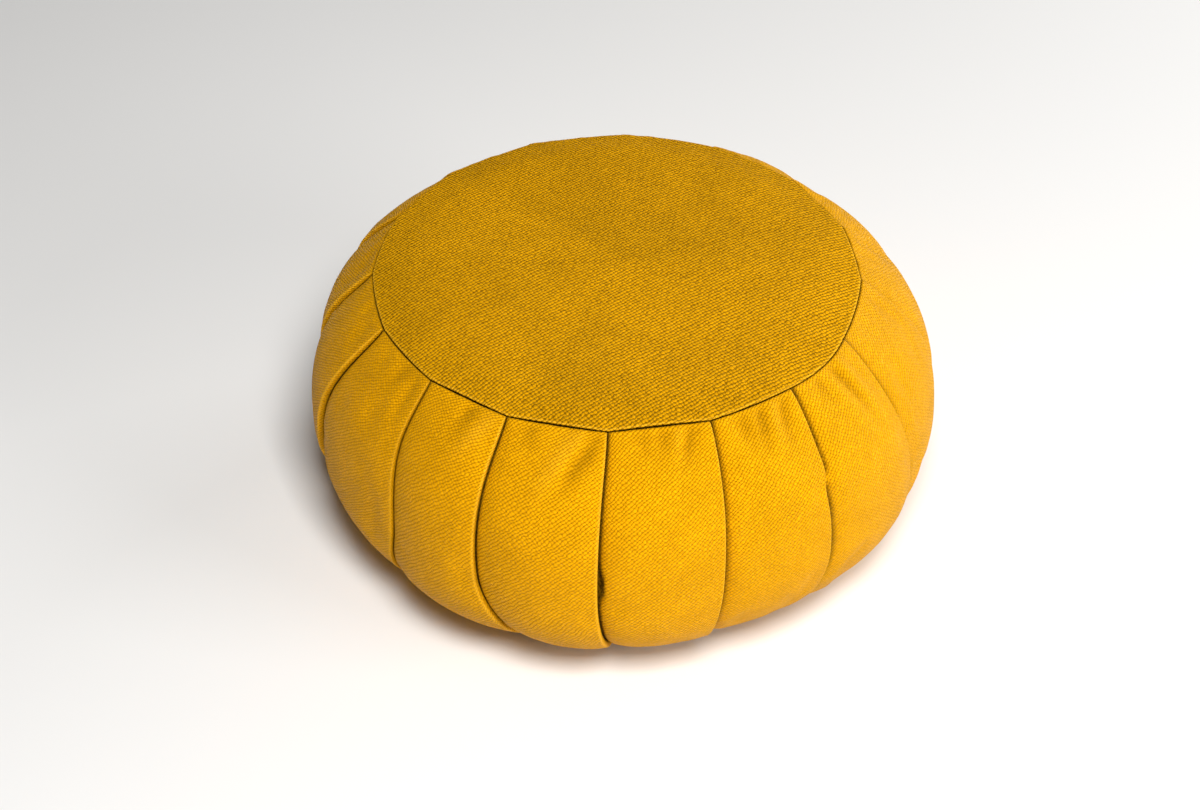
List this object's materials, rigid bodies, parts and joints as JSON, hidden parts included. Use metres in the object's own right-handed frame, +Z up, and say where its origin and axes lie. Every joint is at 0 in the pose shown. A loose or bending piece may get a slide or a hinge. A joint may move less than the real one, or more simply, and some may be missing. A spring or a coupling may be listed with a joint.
{
  "type": "zafu meditation cushion",
  "caption": "Round, low floor cushion with a knife-pleated bulging band between two round panels, in mustard chenille.",
  "frame": {"origin": "centre of the flat underside, on the axis of the two seams", "axes": "+Z up through the middle of the round panels, -Y towards the picture's viewer, +X to the viewer's right"},
  "size_m": [0.3579, 0.3549, 0.167],
  "materials": {
    "band_chenille": "thick mustard chenille with a soft pile",
    "panel_chenille": "thick mustard chenille with a soft pile, seen along the pile"
  },
  "bodies": {
    "root": {"side_band": "band_chenille", "top_panel": "panel_chenille", "bottom_panel": "panel_chenille"}
  },
  "joints": []
}
